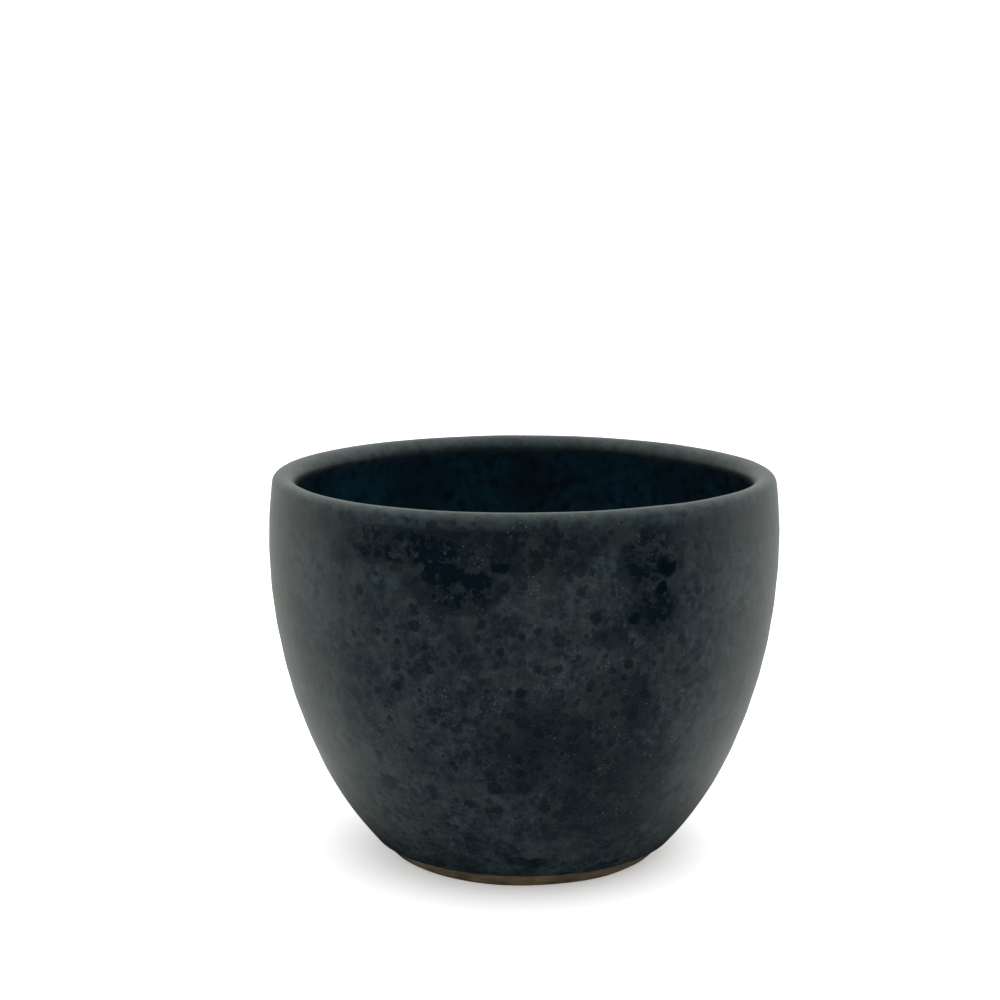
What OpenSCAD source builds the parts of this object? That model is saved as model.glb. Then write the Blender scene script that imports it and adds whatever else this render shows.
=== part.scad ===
// Stoneware candle cup: one thrown clay body and the glaze coats fired onto it.
// Millimetres, +Z up. The origin is the centre of the foot, on the table.
// The outline is a few true arcs. Each glaze coat keeps the arc centres of the
// clay it lies on, so a coat and its clay share one surface at every size.

/* [Cup] */
// Overall height, over the glaze
cup_h = 68.4; // [56:0.1:84]
// Largest outside radius, over the glaze
belly_r = 45; // [37:0.5:55]
// Distance of the largest radius below the rim
belly_drop = 12.4; // [9:0.1:16]
// Outside radius of the bare clay foot where it meets the table
foot_r = 23.8; // [19:0.1:29]
// Height of the knee, where the side curve gives way to the foot curve, as a share of the belly's height
knee_height_share = 0.33; // [0.27:0.01:0.4]
// Radius of the knee, as a share of the way from the foot's radius to the belly's
knee_radius_share = 0.625; // [0.55:0.005:0.7]

/* [Wall] */
// Thickness of the clay wall
wall_t = 3.6; // [2.8:0.1:4.6]
// Clay under the cup's floor
floor_t = 4.2; // [3:0.1:6]
// Radius of the inside corner between the wall and the floor
corner_r = 14; // [10:0.5:18]

/* [Foot ring] */
// Width of the ring that stands on the table
ring_w = 4; // [3:0.1:6]
// Depth of the turned recess inside the ring
recess_depth = 2.2; // [1.2:0.1:3.2]
// Slope of the recess wall from the vertical
recess_draft = 22; // [5:1:35]

/* [Glaze] */
// Thickness of each fired glaze coat
glaze_t = 0.4; // [0.3:0.05:0.6]
// Height of the bare clay band between the table and the outer glaze
bare_h = 3.1; // [1.5:0.1:5]

/* [Hidden] */
$fn = 180;
// How far neighbouring arcs cross, so that they meet in a clean edge
cross = 0.06;
coated_wall = wall_t + 2 * glaze_t;
belly_z = cup_h - belly_drop;

// Side curve: upright at the belly, and through the knee
knee = [foot_r + knee_radius_share * (belly_r - foot_r), knee_height_share * belly_z];
knee_in = belly_r - knee[0];
knee_down = belly_z - knee[1];
side_r = (knee_in * knee_in + knee_down * knee_down) / (2 * knee_in);
side_c = [belly_r - side_r, belly_z];
knee_a = -asin(knee_down / side_r);

// Foot curve: keeps the side curve's direction at the knee, and its clay reaches the table at the foot's radius
foot_start = side_c + (side_r - glaze_t + cross) * along(knee_a);
foot_span = foot_start - [foot_r, 0];
foot_clay_r = (foot_span * foot_span) / (2 * (foot_span * along(knee_a)));
foot_c = foot_start - foot_clay_r * along(knee_a);
foot_arc_r = foot_clay_r + glaze_t;

// Inside curves: a wall's thickness in from the outside ones
inner_side_r = side_r - coated_wall;
inner_foot_r = foot_arc_r - coated_wall;

// Lip: a full round bead over both faces of the wall
bead_r = coated_wall / 2 + cross;
bead_z = cup_h - bead_r;
mid_wall_r = side_r - coated_wall / 2;
bead_a = asin((bead_z - belly_z) / mid_wall_r);
bead_c = [side_c[0] + mid_wall_r * cos(bead_a), bead_z];

// Inside corner: keeps the foot curve's direction, and runs out flat on the floor
floor_z = recess_depth + floor_t + glaze_t;
corner_reach = inner_foot_r + cross - corner_r;
corner_a = asin((floor_z - cross + corner_r - foot_c[1]) / corner_reach);
corner_c = foot_c + corner_reach * along(corner_a);
corner_top_z = (corner_c + corner_r * along(corner_a))[1];

// Turned recess under the floor
recess_mouth_r = foot_r - ring_w;
recess_lean = tan(recess_draft);
recess_top_r = recess_mouth_r - recess_depth * recess_lean;

function along(a) = [cos(a), sin(a)];

// Everything from the axis out, from this height up
module above(z) {
    translate([0, z])
        square([2 * belly_r, cup_h]);
}

// Everything inside a side curve and a foot curve, from the table to the bead's height
module bowl(side, foot) {
    intersection() {
        translate(side_c)
            circle(side);
        union() {
            translate(foot_c)
                circle(foot);
            above(knee[1]);
        }
        square([2 * belly_r, bead_z]);
    }
}

// The cup as a full shape, this far under the glaze
module outside(inset) {
    bowl(side_r - inset, foot_arc_r - inset);
}

// The hollow of the cup, this far into the glaze
module inside(inset) {
    intersection() {
        bowl(inner_side_r + inset, inner_foot_r + inset);
        above(floor_z - inset);
        union() {
            translate(corner_c)
                circle(corner_r + inset);
            square([corner_c[0], cup_h]);
            above(corner_top_z);
        }
    }
}

// The lip, this far under the glaze
module bead(inset) {
    translate(bead_c)
        circle(bead_r - inset);
}

// Thrown wall, floor and foot ring, all one clay
module stoneware_body() {
    color("tan")
        rotate_extrude() {
            difference() {
                outside(glaze_t);
                inside(glaze_t);
                polygon([[0, 0], [recess_mouth_r, 0], [recess_top_r, recess_depth], [0, recess_depth]]);
            }
            bead(glaze_t);
        }
}

// Coat on the outside, from the edge above the foot to the inner side of the lip
module outer_glaze() {
    color("darkslategray")
        rotate_extrude()
            intersection() {
                difference() {
                    union() {
                        outside(0);
                        bead(0);
                    }
                    outside(glaze_t);
                    bead(glaze_t);
                }
                above(bare_h);
            }
}

// Poured coat on the inside wall and floor
module liner_glaze() {
    color("midnightblue")
        rotate_extrude()
            difference() {
                inside(glaze_t);
                difference() {
                    inside(0);
                    bead(0);
                }
                bead(glaze_t);
            }
}

// Coat brushed onto the roof of the foot's recess
module recess_glaze() {
    color("slategray")
        rotate_extrude()
            polygon([
                [0, recess_depth - glaze_t],
                [recess_top_r + glaze_t * recess_lean, recess_depth - glaze_t],
                [recess_top_r, recess_depth],
                [0, recess_depth]
            ]);
}

stoneware_body();
outer_glaze();
liner_glaze();
recess_glaze();
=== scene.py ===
"""Looks of a thrown stoneware candle cup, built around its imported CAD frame.

The cup is turned the way a thrower's profile is: each piece is an outline of arcs
in the XZ plane, spun once about +Z. One shared warp then gives all four pieces the
same small unevenness of a hand-made pot, so the glaze never leaves its clay.
"""

import math

import bmesh
import bpy
from bpy.props import FloatProperty, FloatVectorProperty, IntProperty, PointerProperty, StringProperty
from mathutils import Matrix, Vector, noise


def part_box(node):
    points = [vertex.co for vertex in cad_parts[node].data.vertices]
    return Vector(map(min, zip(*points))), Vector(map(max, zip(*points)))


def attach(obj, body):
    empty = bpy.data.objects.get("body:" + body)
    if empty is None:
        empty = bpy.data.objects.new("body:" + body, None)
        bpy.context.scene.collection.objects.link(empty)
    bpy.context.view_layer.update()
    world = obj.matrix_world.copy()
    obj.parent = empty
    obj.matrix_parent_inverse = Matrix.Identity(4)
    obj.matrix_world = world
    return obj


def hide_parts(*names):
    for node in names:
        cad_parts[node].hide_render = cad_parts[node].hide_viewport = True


bl_info = {
    "name": "Stoneware candle cup",
    "version": (1, 0, 0),
    "blender": (4, 5, 0),
    "location": "View3D > Sidebar > Candle cup",
    "description": "Turns, glazes and lights a stoneware candle cup around its CAD frame",
    "category": "Object",
}

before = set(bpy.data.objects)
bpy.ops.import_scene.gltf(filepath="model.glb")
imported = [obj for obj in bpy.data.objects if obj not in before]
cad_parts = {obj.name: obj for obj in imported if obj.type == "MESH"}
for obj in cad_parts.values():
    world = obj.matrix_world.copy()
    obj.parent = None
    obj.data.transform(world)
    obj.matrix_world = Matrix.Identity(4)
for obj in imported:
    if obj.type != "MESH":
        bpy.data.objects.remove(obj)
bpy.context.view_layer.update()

MM = 0.001
ROOT = "root"
ORIGIN = (0.0, 0.0, 0.0)
FULL_TURN = math.tau
TOP = math.pi / 2
LEFT = math.pi
CREASE = math.radians(50)

# Height of one row of faces: fine where an edge turns sharply, coarse on the broad inside
ROLL_CELL = 0.12 * MM
FOOT_EDGE_CELL = 0.2 * MM
BARE_BAND_CELL = 0.3 * MM
LIP_CELL = 0.35 * MM
INNER_LIP_CELL = 0.4 * MM
BROAD_CELL = 0.8 * MM
FLOOR_CELL = 0.9 * MM

# The pot's unevenness: where it lies, in radians round from the front, and how broad its swells are
HIGH_SIDE = 0.4
TWO_WAVES = 0.3
THREE_WAVES = -0.7
LONG_WAY = 2.8
SWELL_SIZE = 11 * MM
PEEL_SIZE = 2.2 * MM
PEEL_SHIFT = Vector((7.0, 3.0, 5.0))

# Patterns in the glaze, in millimetres across
CLOUD = 16
MOTTLE = 3.4
CRUMB = 1.3
GRAIN = 0.6
CRYSTAL = 0.7
DRIFT = 5
# How much thickness and pattern together make an island, and the roughness of glassy glaze
ISLAND = 1.75
GLASSY = 0.14

# Sockets of a Mix node that mixes colours
MIX_A = 6
MIX_B = 7
MIXED = 2


# ---------------------------------------------------------------- settings


class CupForm(bpy.types.PropertyGroup):
    """Sizes of the turned outline that the frame's boxes don't hold"""

    belly_drop: FloatProperty(
        name="Belly drop", description="Distance of the largest radius below the rim",
        default=12.4 * MM, unit="LENGTH", precision=4)
    knee_height: FloatProperty(
        name="Knee height",
        description="Height where the side gives way to the foot curve, as a share of the belly's",
        default=0.33, subtype="FACTOR", min=0.0, max=1.0)
    knee_radius: FloatProperty(
        name="Knee radius", description="Radius of the knee, as a share of the way from foot to belly",
        default=0.625, subtype="FACTOR", min=0.0, max=1.0)
    foot_r: FloatProperty(
        name="Foot radius", description="Outside radius of the bare clay foot on the table",
        default=23.8 * MM, unit="LENGTH", precision=4)
    ring_w: FloatProperty(
        name="Ring width", description="Width of the face that the foot ring stands on",
        default=4.0 * MM, unit="LENGTH", precision=4)
    lip_outer_r: FloatProperty(
        name="Lip, outer curve", description="Radius of the lip's outer curve, over the glaze",
        default=1.7 * MM, unit="LENGTH", precision=4)
    corner_r: FloatProperty(
        name="Inside corner", description="Radius between the inner wall and the floor",
        default=14.0 * MM, unit="LENGTH", precision=4)
    foot_ease: FloatProperty(
        name="Foot ease", description="Radius sponged onto the foot's edges",
        default=0.45 * MM, unit="LENGTH", precision=4)
    cell: FloatProperty(
        name="Cell", description="Height of one row of faces where the surface shows",
        default=0.62 * MM, unit="LENGTH", precision=5)
    hidden_cell: FloatProperty(
        name="Hidden cell", description="Height of one row of faces between clay and glaze",
        default=3.5 * MM, unit="LENGTH", precision=5)
    turns: IntProperty(
        name="Faces round", description="Faces in one row round the cup",
        default=400, min=48)


class HandMade(bpy.types.PropertyGroup):
    """How far the cup strays from a perfect body of turning"""

    rim_tilt: FloatProperty(
        name="Rim tilt", description="Rise of the rim on its high side, and drop on its low side",
        default=0.12 * MM, unit="LENGTH", precision=5)
    rim_rise: FloatProperty(
        name="Rim rise", description="How far the rim stands over the drawn height",
        default=0.15 * MM, unit="LENGTH", precision=5)
    rim_wave: FloatProperty(
        name="Rim wave", description="Height of the rim's slow waves",
        default=0.08 * MM, unit="LENGTH", precision=5)
    oval: FloatProperty(
        name="Oval", description="How far the mouth is out of round",
        default=0.16 * MM, unit="LENGTH", precision=5)
    ring_spacing: FloatProperty(
        name="Throwing ring spacing", description="Rise of the thrower's fingers in one turn",
        default=6.5 * MM, unit="LENGTH", precision=4)
    ring_depth: FloatProperty(
        name="Throwing ring depth", description="Height of the rings left by the fingers",
        default=0.02 * MM, unit="LENGTH", precision=5)
    swell: FloatProperty(
        name="Glaze swell", description="Height of the glaze's slow thick and thin places",
        default=0.07 * MM, unit="LENGTH", precision=5)
    orange_peel: FloatProperty(
        name="Orange peel", description="Height of the glaze's fine dimpling",
        default=0.012 * MM, unit="LENGTH", precision=5)


class CupColours(bpy.types.PropertyGroup):
    """Fired colours, as sRGB hex values"""

    pool: StringProperty(name="Pool", description="Thick, glassy blue-black glaze", default="#010A0F")
    iron_spot: StringProperty(
        name="Iron spot", description="Blue-black islands and spots", default="#020D15")
    deep: StringProperty(name="Deep", description="Dark smoky glaze", default="#0A1920")
    smoke: StringProperty(name="Smoke", description="Grey-green smoky glaze", default="#18242A")
    moss: StringProperty(name="Moss", description="Greener smoky glaze", default="#222B28")
    haze: StringProperty(name="Haze", description="Thin, dry, palest glaze", default="#242F31")
    speck: StringProperty(name="Speck", description="Fine crystals in the glaze", default="#475357")
    liner_pool: StringProperty(name="Liner pool", description="Thickest liner glaze", default="#03121B")
    liner_deep: StringProperty(name="Liner deep", description="Blue-black liner glaze", default="#041D29")
    liner_haze: StringProperty(name="Liner haze", description="Thin liner glaze", default="#092635")
    clay: StringProperty(name="Clay", description="Bare toasted stoneware", default="#5E4A30")
    clay_dark: StringProperty(
        name="Dark clay", description="Flashed and handled stoneware", default="#3B2F20")
    clay_iron: StringProperty(name="Iron", description="Iron grains in the clay", default="#1E1712")
    walls: StringProperty(
        name="Walls", description="Studio walls, as the glaze mirrors them", default="#FAFFF6")
    floor: StringProperty(name="Floor", description="Studio floor", default="#F4F4F4")


class Studio(bpy.types.PropertyGroup):
    """Camera and light"""

    distance: FloatProperty(
        name="Camera distance", description="From the cup's axis, level", default=0.357, unit="LENGTH")
    height: FloatProperty(
        name="Camera height", description="Above the table", default=0.1272, unit="LENGTH")
    pitch: FloatProperty(
        name="Camera pitch", description="How far the camera looks down",
        default=math.radians(10.18), subtype="ANGLE")
    yaw: FloatProperty(
        name="Camera yaw", description="How far the camera is turned to its left",
        default=math.radians(0.68), subtype="ANGLE")
    lens: FloatProperty(name="Lens", description="Focal length in millimetres", default=73.5)
    top_power: FloatProperty(
        name="Overhead power", description="Watts of the overhead softbox", default=8.5)
    softbox_width: FloatProperty(
        name="Softbox width", description="Width of the overhead softbox", default=1.4, unit="LENGTH")
    softbox_height: FloatProperty(
        name="Softbox height", description="Height of the overhead softbox", default=0.9, unit="LENGTH")
    softbox_side: FloatProperty(
        name="Softbox side", description="How far the softbox hangs to the right",
        default=0.12, unit="LENGTH")
    softbox_back: FloatProperty(
        name="Softbox back", description="How far the softbox hangs behind the cup",
        default=0.05, unit="LENGTH")
    sky_glow: FloatProperty(name="Room brightness", description="Brightness of the white room", default=1.0)
    table_glow: FloatProperty(
        name="Table glow", description="Light that the table gives by itself", default=0.33)
    dome_r: FloatProperty(
        name="Wall distance", description="Distance of the mirrored walls", default=0.9, unit="LENGTH")
    shade_r: FloatProperty(
        name="Shade", description="Radius of the cup's own shade on the table",
        default=24 * MM, unit="LENGTH")
    front_glow: FloatProperty(
        name="Front walls", description="Brightness mirrored from round the camera", default=0.012)
    side_glow: FloatProperty(
        name="Side walls", description="Brightness mirrored from the sides and back", default=0.88)
    ceiling_glow: FloatProperty(
        name="Ceiling", description="Brightness mirrored from overhead", default=0.5)


# ---------------------------------------------------------------- outline


def along(angle):
    """Unit vector in the XZ plane."""
    return Vector((math.cos(angle), 0.0, math.sin(angle)))


class Outline:
    """Arc centres, radii and directions of the cup, worked out from the frame and a few sizes."""

    def __init__(self, form):
        glaze_low, glaze_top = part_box("outer_glaze")
        body_low, body_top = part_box("stoneware_body")
        recess_low, recess_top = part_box("recess_glaze")
        liner_low, liner_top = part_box("liner_glaze")
        self.height = glaze_top.z
        self.belly_r = glaze_top.x
        self.glaze = glaze_top.z - body_top.z
        self.bare_h = glaze_low.z
        self.recess_top = recess_top.z
        self.recess_r = recess_top.x
        self.floor_z = liner_low.z + self.glaze
        self.liner_top = liner_top.z
        self.foot_r = form.foot_r
        self.ring_in_r = form.foot_r - form.ring_w
        self.ease = form.foot_ease
        self.belly_z = self.height - form.belly_drop
        self.wall = self.belly_r - liner_top.x + self.glaze

        knee = Vector((self.foot_r + form.knee_radius * (self.belly_r - self.foot_r), 0.0,
                       form.knee_height * self.belly_z))
        inward = self.belly_r - knee.x
        down = self.belly_z - knee.z
        self.side_r = (inward ** 2 + down ** 2) / (2 * inward)
        self.side_c = Vector((self.belly_r - self.side_r, 0.0, self.belly_z))
        self.knee_a = -math.asin(down / self.side_r)

        knee_normal = along(self.knee_a)
        clay_knee = self.side_c + (self.side_r - self.glaze) * knee_normal
        span = clay_knee - Vector((self.foot_r, 0.0, 0.0))
        clay_r = span.dot(span) / (2 * span.dot(knee_normal))
        self.foot_c = clay_knee - clay_r * knee_normal
        self.foot_arc_r = clay_r + self.glaze
        self.glaze_edge_a = math.asin((self.bare_h - self.foot_c.z) / self.foot_arc_r)
        self.foot_a = math.asin(-self.foot_c.z / clay_r)

        self.inner_side_r = self.side_r - self.wall
        self.inner_foot_r = self.foot_arc_r - self.wall
        self.lip_outer_r = form.lip_outer_r
        rise = self.height - self.lip_outer_r - self.belly_z
        self.lip_outer_a = math.asin(rise / (self.side_r - self.lip_outer_r))
        lip_x = self.side_c.x + (self.side_r - self.lip_outer_r) * math.cos(self.lip_outer_a)
        self.lip_outer_c = Vector((lip_x, 0.0, self.height - self.lip_outer_r))
        top = Vector((lip_x, 0.0, self.height)) - self.side_c
        self.lip_inner_r = (top.dot(top) - self.inner_side_r ** 2) / (2 * (self.inner_side_r + top.z))
        self.lip_inner_c = Vector((lip_x, 0.0, self.height - self.lip_inner_r))
        lip_rise = self.lip_inner_c.z - self.belly_z
        self.lip_inner_a = math.asin(lip_rise / (self.inner_side_r + self.lip_inner_r))

        self.corner_r = form.corner_r
        reach = self.inner_foot_r - self.corner_r
        self.corner_a = math.asin((self.floor_z + self.corner_r - self.foot_c.z) / reach)
        self.corner_c = self.foot_c + reach * along(self.corner_a)

        self.cell = form.cell
        self.hidden_cell = form.hidden_cell


def start(bm, place):
    return bm.verts.new(place)


def arc(bm, end, centre, to, cell):
    """Runs the outline on from its last vertex, round a centre, to a direction."""
    spoke = end.co - centre
    sweep = to - math.atan2(spoke.z, spoke.x)
    sweep = (sweep + math.pi) % FULL_TURN - math.pi
    steps = max(2, round(abs(sweep) * spoke.length / cell))
    made = bmesh.ops.spin(
        bm, geom=[end], cent=centre, axis=(0.0, -1.0, 0.0), dvec=ORIGIN, angle=sweep,
        steps=steps, use_merge=False, use_normal_flip=False, use_duplicate=False)
    return [part for part in made["geom_last"] if isinstance(part, bmesh.types.BMVert)][0]


def line(bm, end, place, cell):
    """Runs the outline on straight to a place."""
    begin = end.co.copy()
    place = Vector(place)
    steps = max(1, round((place - begin).length / cell))
    for step in range(1, steps + 1):
        end = bmesh.ops.extrude_vert_indiv(bm, verts=[end])["verts"][0]
        end.co = begin.lerp(place, step / steps)
    return end


def spun(bm, turns):
    """Spins the outline once about +Z into a closed shell with outward faces."""
    bmesh.ops.spin(
        bm, geom=bm.verts[:] + bm.edges[:], cent=ORIGIN, axis=(0.0, 0.0, 1.0), dvec=ORIGIN,
        angle=FULL_TURN, steps=turns, use_merge=True, use_normal_flip=False, use_duplicate=False)
    bmesh.ops.remove_doubles(bm, verts=bm.verts[:], dist=0.002 * MM)
    bmesh.ops.recalc_face_normals(bm, faces=bm.faces[:])


# ---------------------------------------------------------------- hand-made unevenness


def warp(place, cup, hand):
    """Moves a point as the uneven pot moves it. Every piece uses it, so none leaves its neighbour."""
    turn = math.atan2(place.x, -place.y)
    rise = max(0.0, place.z / cup.height)
    near_rim = rise ** 3
    lift = hand.rim_rise + hand.rim_tilt * math.cos(turn - HIGH_SIDE)
    lift += hand.rim_wave * (math.sin(2 * turn + TWO_WAVES) + 0.6 * math.sin(3 * turn + THREE_WAVES))
    spread = hand.oval * math.cos(2 * turn - LONG_WAY) * rise
    spread += hand.ring_depth * math.sin(FULL_TURN * place.z / hand.ring_spacing + turn) * min(1.0, 3 * rise)
    level = Vector((place.x, place.y, 0.0))
    if level.length > 0:
        level.normalize()
    return place + level * spread + Vector((0.0, 0.0, lift * near_rim))


def relief(place, hand, marks):
    """Height of the glaze over its even coat."""
    broad = noise.noise(place / SWELL_SIZE)
    fine = noise.noise(place / PEEL_SIZE + PEEL_SHIFT)
    height = hand.swell * broad + hand.orange_peel * fine
    for centre, radius, lift in marks:
        reach = (place - centre).length / radius
        if reach < 1.0:
            height += lift * (1 - reach * reach) ** 2
    return height


def raise_skin(bm, hand, marks):
    """Gives the glaze its thick and thin places, on the side that shows."""
    shown = bm.verts.layers.float["shown"]
    bm.normal_update()
    for vert in bm.verts:
        if vert[shown] > 0:
            vert.co += vert.normal * relief(vert.co, hand, marks) * vert[shown]


def finish_piece(bm, name, node, material, cup, hand, marks, turns):
    """Spins, roughens and warps an outline, and hands it to the frame in place of its CAD node."""
    spun(bm, turns)
    raise_skin(bm, hand, marks)
    for vert in bm.verts:
        vert.co = warp(vert.co, cup, hand)
        # The foot was rubbed flat on the table
        vert.co.z = max(vert.co.z, 0.0)
    for face in bm.faces:
        face.smooth = True
    for edge in bm.edges:
        edge.smooth = edge.calc_face_angle() < CREASE
    mesh = bpy.data.meshes.new(name)
    bm.to_mesh(mesh)
    bm.free()
    mesh.materials.append(material)
    piece = bpy.data.objects.new(name, mesh)
    bpy.context.scene.collection.objects.link(piece)
    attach(piece, ROOT)
    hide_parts(node)
    return piece


def show(bm, from_index, amount):
    """Marks the outline's vertices made since from_index as the side that shows."""
    shown = bm.verts.layers.float["shown"]
    bm.verts.ensure_lookup_table()
    for vert in bm.verts[from_index:]:
        vert[shown] = amount


def new_outline():
    bm = bmesh.new()
    bm.verts.layers.float.new("shown")
    return bm


# ---------------------------------------------------------------- materials


def linear(code):
    """Linear colour of an sRGB hex value."""
    parts = [int(code[i:i + 2], 16) / 255 for i in (1, 3, 5)]
    return tuple(p / 12.92 if p <= 0.04045 else ((p + 0.055) / 1.055) ** 2.4 for p in parts) + (1.0,)


def node(tree, kind, inputs, stops=(), **settings):
    """Adds a node with its settings, values, links and colour stops."""
    made = tree.nodes.new(kind)
    for name, value in settings.items():
        setattr(made, name, value)
    for name, value in inputs.items():
        if isinstance(value, bpy.types.NodeSocket):
            tree.links.new(value, made.inputs[name])
        else:
            made.inputs[name].default_value = value
    for index, (place, code) in enumerate(stops):
        elements = made.color_ramp.elements
        stop = elements[index] if index < 2 else elements.new(place)
        stop.position = place
        stop.color = linear(code)
    return made


def new_material(name):
    material = bpy.data.materials.new(name)
    material.use_nodes = True
    tree = material.node_tree
    tree.nodes.clear()
    return material, tree


# Where the outer glaze lies thick: degrees round from the front, height, half width, how many times
# wider than high, and how thick, from 0.3, which only darkens, through 0.6, which breaks up into
# islands, to 1, which is a whole glassy drop
POOLS = (
    (30.5, 59.5, 1.9, 1, 1.0),
    (29.5, 56.0, 1.2, 1, 1.0),
    (27.0, 61.0, 6.0, 1, 0.57),
    (28.0, 53.0, 4.2, 1, 0.57),
    (-16.5, 58.8, 4.4, 2, 0.78),
    (-10.0, 58.0, 3.4, 2, 0.74),
    (-13.5, 56.0, 6.2, 2, 0.6),
    (-15.0, 58.0, 8.5, 2, 0.45),
    (-5.0, 60.2, 1.6, 2, 0.9),
    (-33.0, 63.0, 6.5, 2, 0.58),
    (-22.0, 62.5, 10.0, 3, 0.6),
    (-3.0, 64.0, 15.0, 3, 0.52),
    (-41.0, 61.5, 3.0, 1, 0.5),
    (23.0, 51.5, 1.3, 1, 0.7),
    (19.0, 48.5, 1.9, 1, 0.52),
    (48.0, 64.0, 1.5, 1, 0.52),
    (43.0, 39.5, 1.2, 1, 0.52),
    (-7.5, 17.5, 1.7, 1, 0.54),
    (10.0, 17.5, 2.2, 2, 0.54),
    (-2.0, 7.0, 2.0, 2, 0.54),
    (4.5, 6.5, 2.2, 2, 0.54),
    (-1.0, 24.5, 1.9, 1, 0.52),
    (35.0, 25.0, 2.9, 2, 0.52),
    (-36.0, 21.0, 1.5, 1, 0.52),
    (21.0, 20.0, 11.0, 1, 0.42),
    (5.0, 29.0, 9.0, 1, 0.34),
    (22.0, 36.0, 7.0, 1, 0.3),
    (178.0, 57.0, 4.5, 1, 0.9),
    (150.0, 63.5, 22.0, 3, 0.5),
    (118.0, 61.0, 4.5, 2, 0.8),
    (-120.0, 60.0, 1.7, 1, 1.0),
    (-116.0, 57.0, 7.0, 1, 0.5),
    (-150.0, 25.0, 11.0, 1, 0.42),
    (100.0, 38.0, 11.0, 1, 0.38),
)
# The same inside the cup
LINER_POOLS = (
    (178.0, 60.0, 8.0, 1, 0.5),
    (-152.0, 61.0, 10.0, 2, 0.45),
    (152.0, 64.0, 5.0, 2, 0.4),
    (130.0, 62.0, 8.0, 1, 0.4),
    (60.0, 55.0, 14.0, 1, 0.4),
    (-60.0, 50.0, 12.0, 1, 0.4),
)
# Of the pools, the ones that stand proud as glassy drops: place in the list, and height
DROPS = ((0, 0.26 * MM), (1, 0.16 * MM))
# Spots where iron melted: distance between them, most radius as a share of it, and how dark, in three sizes
SPOTS = ((4.6, 0.3, 0.72), (2.9, 0.42, 0.72), (1.8, 0.44, 0.65))


def surface_point(cup, degrees, height):
    """A point on the outside of the cup, degrees round from the front and this high."""
    turn = math.radians(degrees)
    rise = height * MM
    knee_z = cup.side_c.z + cup.side_r * math.sin(cup.knee_a)
    centre, radius = (cup.side_c, cup.side_r) if rise > knee_z else (cup.foot_c, cup.foot_arc_r)
    out = centre.x + math.sqrt(radius ** 2 - (rise - centre.z) ** 2)
    return Vector((out * math.sin(turn), -out * math.cos(turn), rise))


def thickness(tree, place, cup, pools):
    """How thick the glaze lies, from all the pools: each is a round or flat patch that thins outwards."""
    # Flat pools are round ones, drawn on heights that are twice or three times as large
    spaces = {times: node(tree, "ShaderNodeMapping", {"Vector": place, "Scale": (1.0, 1.0, times)}).outputs[0]
              for times in (1, 2, 3)}
    thick = 0.0
    for degrees, height, half_width, flatness, strength in pools:
        centre = surface_point(cup, degrees, height) / MM
        centre.z *= flatness
        reach = node(tree, "ShaderNodeVectorMath", {0: spaces[flatness], 1: centre}, operation="DISTANCE")
        pool = node(tree, "ShaderNodeMapRange", {
            "Value": reach.outputs["Value"], "From Min": 0.6 * half_width, "From Max": 1.4 * half_width,
            "To Min": strength, "To Max": 0.0}, interpolation_type="SMOOTHSTEP")
        thick = node(tree, "ShaderNodeMath", {0: thick, 1: pool.outputs[0]}, operation="MAXIMUM").outputs[0]
    return thick


def wandered(tree, mm, size, reach):
    """Places moved about by up to half of reach, so that what is drawn on them has a ragged edge."""
    wander = node(tree, "ShaderNodeTexNoise", {
        "Vector": mm, "Scale": 1 / size, "Detail": 3.0, "Roughness": 0.6})
    centred = node(tree, "ShaderNodeVectorMath", {0: wander.outputs["Color"], 1: (0.5, 0.5, 0.5)},
                   operation="SUBTRACT")
    offset = node(tree, "ShaderNodeVectorMath", {0: centred.outputs[0], "Scale": reach}, operation="SCALE")
    return node(tree, "ShaderNodeVectorMath", {0: mm, 1: offset.outputs[0]}, operation="ADD").outputs[0]


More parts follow.
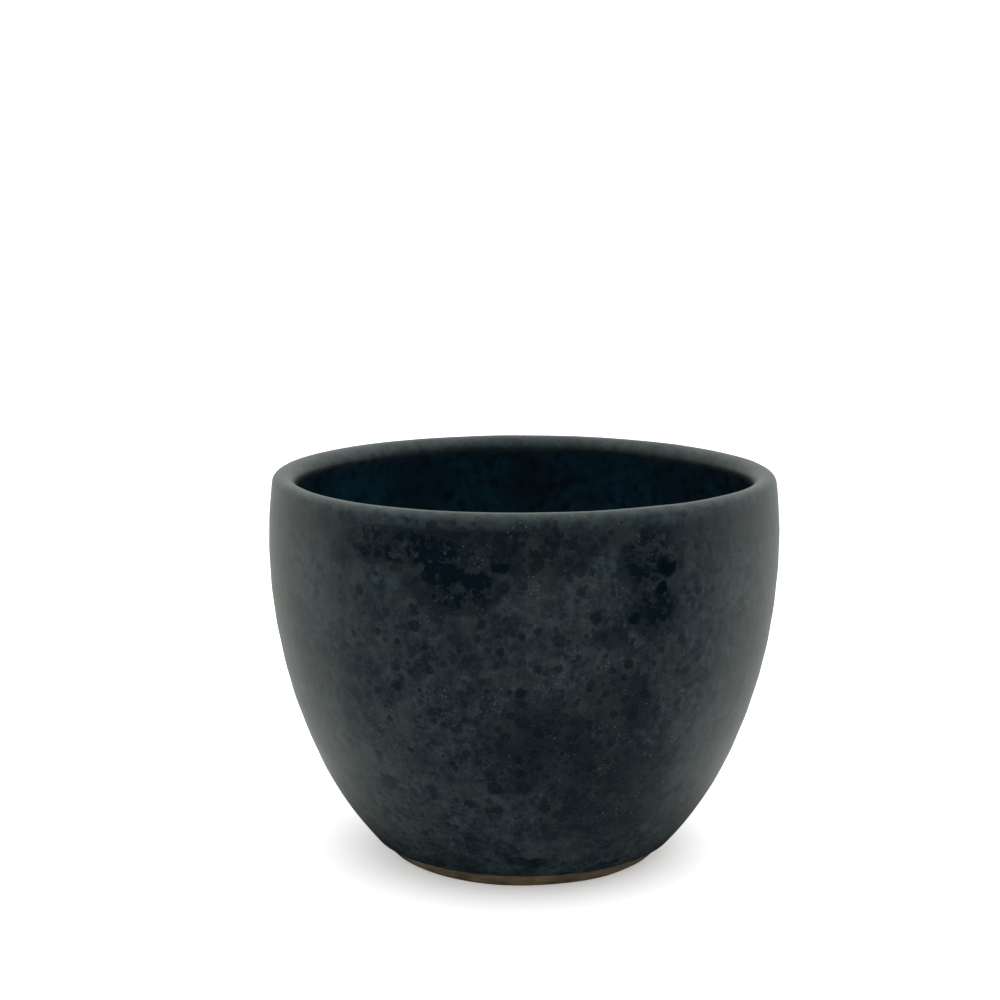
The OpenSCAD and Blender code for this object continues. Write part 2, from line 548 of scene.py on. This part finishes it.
def glaze_material(name, colours, cup, pools=(), liner=False, speck_cover=0.5, gloss=0.36):
    """Reduction-fired satin stoneware glaze: smoky clouds, dark pools and spots, fine pale crystals."""
    material, tree = new_material(name)
    place = node(tree, "ShaderNodeTexCoord", {}).outputs["Object"]
    mm = node(tree, "ShaderNodeMapping", {"Vector": place, "Scale": (1 / MM,) * 3}).outputs[0]
    frayed = wandered(tree, mm, 1.0, 0.7)
    height = node(tree, "ShaderNodeSeparateXYZ", {0: frayed}).outputs["Z"]

    # Clouds of thick and thin glaze, in three sizes
    clouds = node(tree, "ShaderNodeTexNoise", {
        "Vector": mm, "Scale": 1 / CLOUD, "Detail": 6.0, "Roughness": 0.6})
    mottle = node(tree, "ShaderNodeTexNoise", {
        "Vector": frayed, "Scale": 1 / MOTTLE, "Detail": 5.0, "Roughness": 0.65})
    crumble = node(tree, "ShaderNodeTexNoise", {
        "Vector": mm, "Scale": 1 / CRUMB, "Detail": 3.0, "Roughness": 0.6})
    slow = node(tree, "ShaderNodeMath", {0: clouds.outputs[0], 1: 0.27}, operation="MULTIPLY")
    medium = node(tree, "ShaderNodeMath", {0: mottle.outputs[0], 1: 0.36, 2: slow.outputs[0]},
                  operation="MULTIPLY_ADD")
    tone = node(tree, "ShaderNodeMath", {0: crumble.outputs[0], 1: 0.37, 2: medium.outputs[0]},
                operation="MULTIPLY_ADD").outputs[0]

    # The glaze is thick in its pools and under the rim. Inside, it also runs down in broad streaks
    thick = thickness(tree, wandered(tree, mm, 2.4, 1.8), cup, pools)
    top = cup.height / MM
    under_rim = node(tree, "ShaderNodeMapRange", {
        "Value": height, "From Min": 0.84 * top, "From Max": 0.97 * top, "To Min": 0.0, "To Max": 0.36},
        interpolation_type="SMOOTHSTEP")
    thick = node(tree, "ShaderNodeMath", {0: thick, 1: under_rim.outputs[0]}, operation="MAXIMUM").outputs[0]
    off_lip = node(tree, "ShaderNodeMapRange", {
        "Value": height, "From Min": 0.96 * top, "From Max": 0.98 * top, "To Min": 1.0, "To Max": 0.0})
    thick = node(tree, "ShaderNodeMath", {0: thick, 1: off_lip.outputs[0]}, operation="MULTIPLY").outputs[0]
    if liner:
        drawn = node(tree, "ShaderNodeMapping", {"Vector": mm, "Scale": (1.0, 1.0, 0.2)}).outputs[0]
        runs = node(tree, "ShaderNodeTexNoise", {"Vector": drawn, "Scale": 1 / 6, "Detail": 2.0})
        streak = node(tree, "ShaderNodeMapRange", {
            "Value": runs.outputs[0], "From Min": 0.45, "From Max": 0.7, "To Min": 0.0, "To Max": 0.5})
        thick = node(tree, "ShaderNodeMath", {0: thick, 1: streak.outputs[0]}, operation="MAXIMUM").outputs[0]

    # Thin glaze is pale and thick glaze dark. The liner is bluer, and thins out to the outer glaze's
    # grey at the lip
    darkening = -0.15 if liner else -0.32
    tone = node(tree, "ShaderNodeMath", {0: thick, 1: darkening, 2: tone},
                operation="MULTIPLY_ADD").outputs[0]
    ground = node(tree, "ShaderNodeValToRGB", {0: tone}, stops=(
        (0.42, colours.deep), (0.58, colours.haze), (0.5, colours.smoke))).outputs[0]
    greener = node(tree, "ShaderNodeTexNoise", {"Vector": mm, "Scale": 1 / 5.5, "Detail": 3.0})
    green = node(tree, "ShaderNodeMapRange", {
        "Value": greener.outputs[0], "From Min": 0.45, "From Max": 0.65, "To Min": 0.0, "To Max": 0.4})
    ground = node(tree, "ShaderNodeMix", {0: green.outputs[0], MIX_A: ground, MIX_B: linear(colours.moss)},
                  data_type="RGBA").outputs[MIXED]
    if liner:
        lining = node(tree, "ShaderNodeValToRGB", {0: tone}, stops=(
            (0.36, colours.liner_pool), (0.6, colours.liner_haze), (0.48, colours.liner_deep))).outputs[0]
        depth = node(tree, "ShaderNodeMapRange", {
            "Value": height, "From Min": cup.liner_top / MM - 2.0, "From Max": cup.liner_top / MM + 0.4,
            "To Min": 1.0, "To Max": 0.0})
        ground = node(tree, "ShaderNodeMix", {0: depth.outputs[0], MIX_A: ground, MIX_B: lining},
                      data_type="RGBA").outputs[MIXED]

    # Thick glaze breaks up into islands along its edges, and the thickest stays whole
    broken = node(tree, "ShaderNodeMath", {0: mottle.outputs[0], 1: 1.2, 2: thick}, operation="MULTIPLY_ADD")
    crumbled = node(tree, "ShaderNodeMath", {0: crumble.outputs[0], 1: 1.4, 2: broken.outputs[0]},
                    operation="MULTIPLY_ADD")
    fade = 0.3 if liner else 0.16
    islands = node(tree, "ShaderNodeMapRange", {
        "Value": crumbled.outputs[0], "From Min": ISLAND, "From Max": ISLAND + fade, "To Min": 0.0,
        "To Max": 1.0})
    body = node(tree, "ShaderNodeMapRange", {
        "Value": thick, "From Min": 0.45, "From Max": 0.62, "To Min": 0.7, "To Max": 0.87},
        interpolation_type="SMOOTHSTEP")
    broken_up = node(tree, "ShaderNodeMath", {0: islands.outputs[0], 1: body.outputs[0]},
                     operation="MULTIPLY")
    whole = node(tree, "ShaderNodeMapRange", {
        "Value": thick, "From Min": 0.85, "From Max": 0.98, "To Min": 0.0, "To Max": 1.0})
    dark = node(tree, "ShaderNodeMath", {0: broken_up.outputs[0], 1: whole.outputs[0]},
                operation="MAXIMUM").outputs[0]

    # Round dark spots where iron melted, each with its own size, larger and closer where the glaze is thick
    for spacing, widest, strength in SPOTS:
        cells = node(tree, "ShaderNodeTexVoronoi", {"Vector": frayed, "Scale": 1 / spacing})
        random = node(tree, "ShaderNodeSeparateColor", {0: cells.outputs["Color"]})
        luck = node(tree, "ShaderNodeMath", {0: thick, 1: 0.5, 2: random.outputs[0]},
                    operation="MULTIPLY_ADD")
        radius = node(tree, "ShaderNodeMapRange", {
            "Value": luck.outputs[0], "From Min": 0.12, "From Max": 1.05, "To Min": 0.0, "To Max": widest})
        inside = node(tree, "ShaderNodeMath", {0: radius.outputs[0], 1: cells.outputs["Distance"]},
                      operation="SUBTRACT")
        depth = node(tree, "ShaderNodeMapRange", {
            "Value": random.outputs[1], "From Min": 0.0, "From Max": 1.0, "To Min": 0.6 * strength,
            "To Max": strength})
        spot = node(tree, "ShaderNodeMapRange", {
            "Value": inside.outputs[0], "From Min": -0.03, "From Max": 0.06, "To Min": 0.0,
            "To Max": depth.outputs[0]}, interpolation_type="SMOOTHSTEP")
        dark = node(tree, "ShaderNodeMath", {0: dark, 1: spot.outputs[0]}, operation="MAXIMUM").outputs[0]
    iron = linear(colours.pool if liner else colours.iron_spot)
    spotted = node(tree, "ShaderNodeMix", {0: dark, MIX_A: ground, MIX_B: iron}, data_type="RGBA")
    glassy = node(tree, "ShaderNodeMapRange", {
        "Value": dark, "From Min": 0.8, "From Max": 0.98, "To Min": 0.0, "To Max": 1.0})
    pooled = node(tree, "ShaderNodeMix", {
        0: glassy.outputs[0], MIX_A: spotted.outputs[MIXED], MIX_B: linear(colours.pool)}, data_type="RGBA")

    # Fine pale crystals, really some 0.05 mm and drawn 0.35 mm wide so that they show, thicker in drifts
    crystals = node(tree, "ShaderNodeTexVoronoi", {"Vector": mm, "Scale": 1 / CRYSTAL})
    chance = node(tree, "ShaderNodeSeparateColor", {0: crystals.outputs["Color"]}).outputs[1]
    points = node(tree, "ShaderNodeMapRange", {
        "Value": crystals.outputs["Distance"], "From Min": 0.12, "From Max": 0.3, "To Min": 1.0,
        "To Max": 0.0})
    drifts = node(tree, "ShaderNodeTexNoise", {"Vector": mm, "Scale": 1 / DRIFT, "Detail": 4.0})
    density = node(tree, "ShaderNodeMapRange", {
        "Value": drifts.outputs[0], "From Min": 0.46, "From Max": 0.62, "To Min": 0.05,
        "To Max": speck_cover})
    lit = node(tree, "ShaderNodeMath", {0: points.outputs[0], 1: chance}, operation="MULTIPLY")
    bright = node(tree, "ShaderNodeMath", {0: lit.outputs[0], 1: density.outputs[0]}, operation="MULTIPLY")
    clear = node(tree, "ShaderNodeMath", {0: 1.15, 1: dark}, operation="SUBTRACT", use_clamp=True)
    bright = node(tree, "ShaderNodeMath", {0: bright.outputs[0], 1: clear.outputs[0]}, operation="MULTIPLY")
    colour = node(tree, "ShaderNodeMix", {
        0: bright.outputs[0], MIX_A: pooled.outputs[MIXED], MIX_B: linear(colours.speck)}, data_type="RGBA")

    # Pools are glassy, dry places are satin
    rough = node(tree, "ShaderNodeMapRange", {
        "Value": dark, "From Min": 0.74, "From Max": 0.86, "To Min": gloss, "To Max": GLASSY})
    grain = node(tree, "ShaderNodeTexNoise", {
        "Vector": mm, "Scale": 1 / GRAIN, "Detail": 2.0, "Roughness": 0.6})
    level = node(tree, "ShaderNodeMath", {0: grain.outputs[0], 1: 0.5}, operation="SUBTRACT")
    dry = node(tree, "ShaderNodeMath", {0: level.outputs[0], 1: clear.outputs[0]}, operation="MULTIPLY")
    relief_map = node(tree, "ShaderNodeMath", {0: dry.outputs[0], 1: 0.5, 2: bright.outputs[0]},
                      operation="MULTIPLY_ADD")
    bump = node(tree, "ShaderNodeBump", {
        "Height": relief_map.outputs[0], "Strength": 0.5, "Distance": 0.03 * MM})
    shader = node(tree, "ShaderNodeBsdfPrincipled", {
        "Base Color": colour.outputs[MIXED], "Roughness": rough.outputs[0], "IOR": 1.4,
        "Normal": bump.outputs[0]})
    node(tree, "ShaderNodeOutputMaterial", {0: shader.outputs[0]})
    return material


def clay_material(name, colours):
    """Bare stoneware, turned on the wheel and fired: sandy, toasted, with iron grains."""
    material, tree = new_material(name)
    place = node(tree, "ShaderNodeTexCoord", {}).outputs["Object"]
    mm = node(tree, "ShaderNodeMapping", {"Vector": place, "Scale": (1 / MM,) * 3}).outputs[0]
    # Turning drags the sand round the foot, so the streaks are long round the cup and thin in height
    turned = node(tree, "ShaderNodeMapping", {"Vector": mm, "Scale": (0.25, 0.25, 1.6)}).outputs[0]
    streaks = node(tree, "ShaderNodeTexNoise", {
        "Vector": turned, "Scale": 1 / 0.9, "Detail": 4.0, "Roughness": 0.6})
    blush = node(tree, "ShaderNodeTexNoise", {"Vector": mm, "Scale": 1 / 7, "Detail": 3.0})
    half = node(tree, "ShaderNodeMath", {0: streaks.outputs[0], 1: 0.5}, operation="MULTIPLY")
    tone = node(tree, "ShaderNodeMath", {0: blush.outputs[0], 1: 0.5, 2: half.outputs[0]},
                operation="MULTIPLY_ADD")
    ground = node(tree, "ShaderNodeValToRGB", {0: tone.outputs[0]},
                  stops=((0.38, colours.clay_dark), (0.6, colours.clay)))
    grit = node(tree, "ShaderNodeTexVoronoi", {"Vector": mm, "Scale": 1 / 1.5})
    iron = node(tree, "ShaderNodeMapRange", {
        "Value": grit.outputs["Distance"], "From Min": 0.1, "From Max": 0.2, "To Min": 0.8, "To Max": 0.0})
    colour = node(tree, "ShaderNodeMix", {
        0: iron.outputs[0], MIX_A: ground.outputs[0], MIX_B: linear(colours.clay_iron)}, data_type="RGBA")
    sand = node(tree, "ShaderNodeTexNoise", {"Vector": mm, "Scale": 1 / 0.35, "Detail": 2.0})
    height = node(tree, "ShaderNodeMath", {0: sand.outputs[0], 1: 0.5, 2: streaks.outputs[0]},
                  operation="MULTIPLY_ADD")
    bump = node(tree, "ShaderNodeBump", {"Height": height.outputs[0], "Strength": 0.8, "Distance": 0.12 * MM})
    shader = node(tree, "ShaderNodeBsdfPrincipled", {
        "Base Color": colour.outputs[MIXED], "Roughness": 0.82, "IOR": 1.45, "Normal": bump.outputs[0]})
    node(tree, "ShaderNodeOutputMaterial", {0: shader.outputs[0]})
    return material


# ---------------------------------------------------------------- operators


class CUP_OT_outer_glaze(bpy.types.Operator):
    """Turn the outer glaze, from its rolled edge above the foot to the inner side of the lip"""

    bl_idname = "cup.outer_glaze"
    bl_label = "Outer glaze"

    def execute(self, context):
        scene = context.scene
        cup = Outline(scene.cup_form)
        thick = cup.glaze
        bm = new_outline()
        first = start(bm, cup.foot_c + (cup.foot_arc_r - thick) * along(cup.glaze_edge_a))
        roll_c = cup.foot_c + (cup.foot_arc_r - thick / 2) * along(cup.glaze_edge_a)
        # The edge rolls round, downwards, from the clay to the outside
        end = arc(bm, first, roll_c, cup.glaze_edge_a - TOP, ROLL_CELL)
        end = arc(bm, end, roll_c, cup.glaze_edge_a, ROLL_CELL)
        skin = len(bm.verts)
        end = arc(bm, end, cup.foot_c, cup.knee_a, cup.cell)
        end = arc(bm, end, cup.side_c, cup.lip_outer_a, cup.cell)
        end = arc(bm, end, cup.lip_outer_c, TOP, LIP_CELL)
        end = arc(bm, end, cup.lip_inner_c, LEFT + cup.lip_inner_a, INNER_LIP_CELL)
        show(bm, skin, 1.0)
        skin = len(bm.verts)
        end = line(bm, end, cup.lip_inner_c - (cup.lip_inner_r - thick) * along(cup.lip_inner_a), thick)
        end = arc(bm, end, cup.lip_inner_c, TOP, BROAD_CELL)
        end = arc(bm, end, cup.lip_outer_c, cup.lip_outer_a, BROAD_CELL)
        end = arc(bm, end, cup.side_c, cup.knee_a, cup.hidden_cell)
        end = arc(bm, end, cup.foot_c, cup.glaze_edge_a, cup.hidden_cell)
        show(bm, skin, 0.0)
        bmesh.ops.pointmerge(bm, verts=[end, first], merge_co=first.co)
        drops = [(surface_point(cup, POOLS[i][0], POOLS[i][1]), 1.1 * POOLS[i][2] * MM, lift)
                 for i, lift in DROPS]
        material = glaze_material("satin_stoneware_glaze_dipped", scene.cup_colours, cup, POOLS)
        finish_piece(bm, "outer_glaze_coat", "outer_glaze", material, cup, scene.cup_hand,
                     drops, scene.cup_form.turns)
        return {"FINISHED"}


class CUP_OT_liner_glaze(bpy.types.Operator):
    """Turn the liner glaze, poured over the inner wall and the floor"""

    bl_idname = "cup.liner_glaze"
    bl_label = "Liner glaze"

    def execute(self, context):
        scene = context.scene
        cup = Outline(scene.cup_form)
        thick = cup.glaze
        bm = new_outline()
        end = start(bm, (0.0, 0.0, cup.floor_z))
        end = line(bm, end, (cup.corner_c.x, 0.0, cup.floor_z), FLOOR_CELL)
        end = arc(bm, end, cup.corner_c, cup.corner_a, FLOOR_CELL)
        end = arc(bm, end, cup.foot_c, cup.knee_a, BROAD_CELL)
        end = arc(bm, end, cup.side_c, cup.lip_inner_a, BROAD_CELL)
        show(bm, 0, 1.0)
        skin = len(bm.verts)
        end = line(bm, end, cup.side_c + (cup.inner_side_r + thick) * along(cup.lip_inner_a), thick)
        end = arc(bm, end, cup.side_c, cup.knee_a, cup.hidden_cell)
        end = arc(bm, end, cup.foot_c, cup.corner_a, cup.hidden_cell)
        end = arc(bm, end, cup.corner_c, -TOP, cup.hidden_cell)
        line(bm, end, (0.0, 0.0, cup.floor_z - thick), cup.hidden_cell)
        show(bm, skin, 0.0)
        material = glaze_material(
            "satin_stoneware_glaze_poured", scene.cup_colours, cup, LINER_POOLS, liner=True,
            speck_cover=0.2, gloss=0.3)
        finish_piece(bm, "liner_glaze_coat", "liner_glaze", material, cup, scene.cup_hand,
                     (), scene.cup_form.turns)
        return {"FINISHED"}


class CUP_OT_recess_glaze(bpy.types.Operator):
    """Turn the glaze brushed onto the roof of the foot's recess"""

    bl_idname = "cup.recess_glaze"
    bl_label = "Recess glaze"

    def execute(self, context):
        scene = context.scene
        cup = Outline(scene.cup_form)
        low = cup.recess_top - cup.glaze
        bm = new_outline()
        end = start(bm, (0.0, 0.0, cup.recess_top))
        end = line(bm, end, (cup.recess_r - cup.glaze, 0.0, cup.recess_top), cup.hidden_cell)
        skin = len(bm.verts)
        end = line(bm, end, (cup.recess_r - 0.6 * cup.glaze, 0.0, low + 0.35 * cup.glaze), cup.glaze)
        end = line(bm, end, (cup.recess_r - 1.8 * cup.glaze, 0.0, low), cup.glaze)
        line(bm, end, (0.0, 0.0, low), BROAD_CELL)
        show(bm, skin, 0.6)
        material = glaze_material("satin_stoneware_glaze_brushed", scene.cup_colours, cup)
        finish_piece(bm, "recess_glaze_coat", "recess_glaze", material, cup, scene.cup_hand,
                     (), scene.cup_form.turns)
        return {"FINISHED"}


class CUP_OT_clay_body(bpy.types.Operator):
    """Turn the clay: wall, floor and foot ring"""

    bl_idname = "cup.clay_body"
    bl_label = "Clay body"

    def execute(self, context):
        scene = context.scene
        cup = Outline(scene.cup_form)
        thick = cup.glaze
        ease = cup.ease
        bm = new_outline()
        end = start(bm, (0.0, 0.0, cup.recess_top))
        end = line(bm, end, (cup.recess_r - 2 * thick, 0.0, cup.recess_top), cup.hidden_cell)
        skin = len(bm.verts)
        end = line(bm, end, (cup.recess_r - thick, 0.0, cup.recess_top - 0.3 * thick), thick)
        end = line(bm, end, (cup.ring_in_r - 0.4 * ease, 0.0, ease), LIP_CELL)
        end = line(bm, end, (cup.ring_in_r + ease, 0.0, 0.0), FOOT_EDGE_CELL)
        end = line(bm, end, (cup.foot_r - 1.2 * ease, 0.0, 0.0), INNER_LIP_CELL)
        # Sponged edge, then the bare band up to and under the glaze
        lift_a = math.asin((0.9 * ease - cup.foot_c.z) / (cup.foot_arc_r - thick))
        lifted = cup.foot_c + (cup.foot_arc_r - thick) * along(lift_a)
        end = line(bm, end, (cup.foot_r - 0.25 * ease, 0.0, 0.22 * ease), FOOT_EDGE_CELL)
        end = line(bm, end, lifted, FOOT_EDGE_CELL)
        end = arc(bm, end, cup.foot_c, cup.glaze_edge_a + 0.01, BARE_BAND_CELL)
        show(bm, skin, 1.0)
        skin = len(bm.verts)
        end = arc(bm, end, cup.foot_c, cup.knee_a, cup.hidden_cell)
        end = arc(bm, end, cup.side_c, cup.lip_outer_a, cup.hidden_cell)
        end = arc(bm, end, cup.lip_outer_c, TOP, BROAD_CELL)
        end = arc(bm, end, cup.lip_inner_c, LEFT + cup.lip_inner_a, BROAD_CELL)
        end = arc(bm, end, cup.side_c, cup.knee_a, cup.hidden_cell)
        end = arc(bm, end, cup.foot_c, cup.corner_a, cup.hidden_cell)
        end = arc(bm, end, cup.corner_c, -TOP, cup.hidden_cell)
        line(bm, end, (0.0, 0.0, cup.floor_z - thick), cup.hidden_cell)
        show(bm, skin, 0.0)
        material = clay_material("bare_stoneware_turned", scene.cup_colours)
        finish_piece(bm, "clay_body", "stoneware_body", material, cup, scene.cup_hand,
                     (), scene.cup_form.turns)
        return {"FINISHED"}


def stage_piece(bm, name, material):
    """Links a piece of the stage, which isn't part of the cup."""
    mesh = bpy.data.meshes.new(name)
    bm.to_mesh(mesh)
    bm.free()
    mesh.materials.append(material)
    piece = bpy.data.objects.new(name, mesh)
    bpy.context.scene.collection.objects.link(piece)
    return piece


class CUP_OT_stage(bpy.types.Operator):
    """Set the floor, the walls and table that the glaze mirrors, the softbox, the sky and the camera"""

    bl_idname = "cup.stage"
    bl_label = "Stage"

    def execute(self, context):
        scene = context.scene
        studio = scene.cup_studio
        self.floor(scene, studio)
        self.dome(scene, studio)
        self.table_mirror(scene, studio)
        self.softbox(scene, studio)
        self.sky(scene, studio)
        self.camera(scene, studio)
        scene.view_settings.view_transform = "Standard"
        return {"FINISHED"}

    def floor(self, scene, studio):
        """A sheet of white paper, lit a little from below as on a light table."""
        bm = bmesh.new()
        bmesh.ops.create_circle(bm, cap_ends=True, segments=96, radius=3.0)
        material, tree = new_material("matt_white_paper")
        shader = node(tree, "ShaderNodeBsdfPrincipled", {
            "Base Color": linear(scene.cup_colours.floor), "Roughness": 0.9, "Specular IOR Level": 0.0,
            "Emission Color": (1.0, 1.0, 1.0, 1.0), "Emission Strength": studio.table_glow})
        node(tree, "ShaderNodeOutputMaterial", {0: shader.outputs[0]})
        piece = stage_piece(bm, "floor", material)
        piece.visible_glossy = False

    def dome(self, scene, studio):
        """What the glaze mirrors: a dim room in front, white walls at the sides and behind."""
        bm = bmesh.new()
        bmesh.ops.create_uvsphere(bm, u_segments=64, v_segments=32, radius=studio.dome_r)
        material, tree = new_material("studio_walls")
        place = node(tree, "ShaderNodeTexCoord", {}).outputs["Object"]
        parts = node(tree, "ShaderNodeSeparateXYZ", {0: place})
        walls = node(tree, "ShaderNodeMapRange", {
            "Value": parts.outputs["Y"], "From Min": -0.68 * studio.dome_r, "From Max": 0.2 * studio.dome_r,
            "To Min": studio.front_glow, "To Max": studio.side_glow}, interpolation_type="SMOOTHSTEP")
        ceiling = node(tree, "ShaderNodeMapRange", {
            "Value": parts.outputs["Z"], "From Min": 0.25 * studio.dome_r, "From Max": 0.8 * studio.dome_r,
            "To Min": 0.0, "To Max": studio.ceiling_glow}, interpolation_type="SMOOTHSTEP")
        glow = node(tree, "ShaderNodeMath", {0: walls.outputs[0], 1: ceiling.outputs[0]}, operation="ADD")
        shader = node(tree, "ShaderNodeEmission", {
            "Color": linear(scene.cup_colours.walls), "Strength": glow.outputs[0]})
        node(tree, "ShaderNodeOutputMaterial", {0: shader.outputs[0]})
        piece = stage_piece(bm, "studio_dome", material)
        piece.visible_camera = False
        piece.visible_diffuse = False
        piece.visible_shadow = False

    def table_mirror(self, scene, studio):
        """What the glaze mirrors of the table: white, but dim in the cup's shade and towards the front."""
        bm = bmesh.new()
        bmesh.ops.create_circle(bm, cap_ends=True, segments=96, radius=studio.dome_r)
        bmesh.ops.translate(bm, verts=bm.verts[:], vec=(0.0, 0.0, -0.1 * MM))
        material, tree = new_material("table_in_the_glaze")
        place = node(tree, "ShaderNodeTexCoord", {}).outputs["Object"]
        distance = node(tree, "ShaderNodeVectorMath", {0: place}, operation="LENGTH")
        open_table = node(tree, "ShaderNodeMapRange", {
            "Value": distance.outputs["Value"], "From Min": studio.shade_r,
            "From Max": 2.5 * studio.shade_r, "To Min": studio.front_glow, "To Max": studio.side_glow},
            interpolation_type="SMOOTHSTEP")
        depth = node(tree, "ShaderNodeSeparateXYZ", {0: place}).outputs["Y"]
        behind = node(tree, "ShaderNodeMapRange", {
            "Value": depth, "From Min": -2.5 * studio.shade_r, "From Max": 0.0, "To Min": studio.front_glow,
            "To Max": 1.0}, interpolation_type="SMOOTHSTEP")
        glow = node(tree, "ShaderNodeMath", {0: open_table.outputs[0], 1: behind.outputs[0]},
                    operation="MULTIPLY")
        shader = node(tree, "ShaderNodeEmission", {
            "Color": linear(scene.cup_colours.walls), "Strength": glow.outputs[0]})
        node(tree, "ShaderNodeOutputMaterial", {0: shader.outputs[0]})
        piece = stage_piece(bm, "table_mirror", material)
        piece.visible_camera = False
        piece.visible_diffuse = False
        piece.visible_shadow = False

    def softbox(self, scene, studio):
        light = bpy.data.lights.new("overhead_softbox", "AREA")
        light.shape = "DISK"
        light.size = studio.softbox_width
        light.energy = studio.top_power
        lamp = bpy.data.objects.new("overhead_softbox", light)
        lamp.location = (studio.softbox_side, studio.softbox_back, studio.softbox_height)
        lamp.visible_camera = False
        lamp.visible_glossy = False
        scene.collection.objects.link(lamp)

    def sky(self, scene, studio):
        world = bpy.data.worlds.new("studio_white")
        world.use_nodes = True
        background = world.node_tree.nodes["Background"]
        background.inputs["Color"].default_value = (1.0, 1.0, 1.0, 1.0)
        background.inputs["Strength"].default_value = studio.sky_glow
        scene.world = world

    def camera(self, scene, studio):
        data = bpy.data.cameras.new("camera")
        data.sensor_width = 36.0
        data.lens = studio.lens
        data.clip_start = 0.01
        camera = bpy.data.objects.new("camera", data)
        camera.location = (0.0, -studio.distance, studio.height)
        camera.rotation_euler = (TOP - studio.pitch, 0.0, studio.yaw)
        scene.collection.objects.link(camera)
        scene.camera = camera


class CUP_PT_panel(bpy.types.Panel):
    """Lists the steps that build the cup"""

    bl_idname = "CUP_PT_panel"
    bl_label = "Candle cup"
    bl_space_type = "VIEW_3D"
    bl_region_type = "UI"
    bl_category = "Candle cup"

    def draw(self, context):
        for step in STEPS:
            self.layout.operator(step.bl_idname)
        for group in (context.scene.cup_form, context.scene.cup_hand, context.scene.cup_colours,
                      context.scene.cup_studio):
            box = self.layout.box()
            for name in group.__annotations__:
                box.prop(group, name)


STEPS = (CUP_OT_stage, CUP_OT_clay_body, CUP_OT_outer_glaze, CUP_OT_liner_glaze, CUP_OT_recess_glaze)
GROUPS = {"cup_form": CupForm, "cup_hand": HandMade, "cup_colours": CupColours, "cup_studio": Studio}


def register():
    for kind in (*GROUPS.values(), *STEPS, CUP_PT_panel):
        bpy.utils.register_class(kind)
    for name, group in GROUPS.items():
        setattr(bpy.types.Scene, name, PointerProperty(type=group))


def unregister():
    for name in GROUPS:
        delattr(bpy.types.Scene, name)
    for kind in reversed((*GROUPS.values(), *STEPS, CUP_PT_panel)):
        bpy.utils.unregister_class(kind)


def main():
    register()
    for step in STEPS:
        group, name = step.bl_idname.split(".")
        getattr(getattr(bpy.ops, group), name)()


if __name__ == "__main__":
    main()
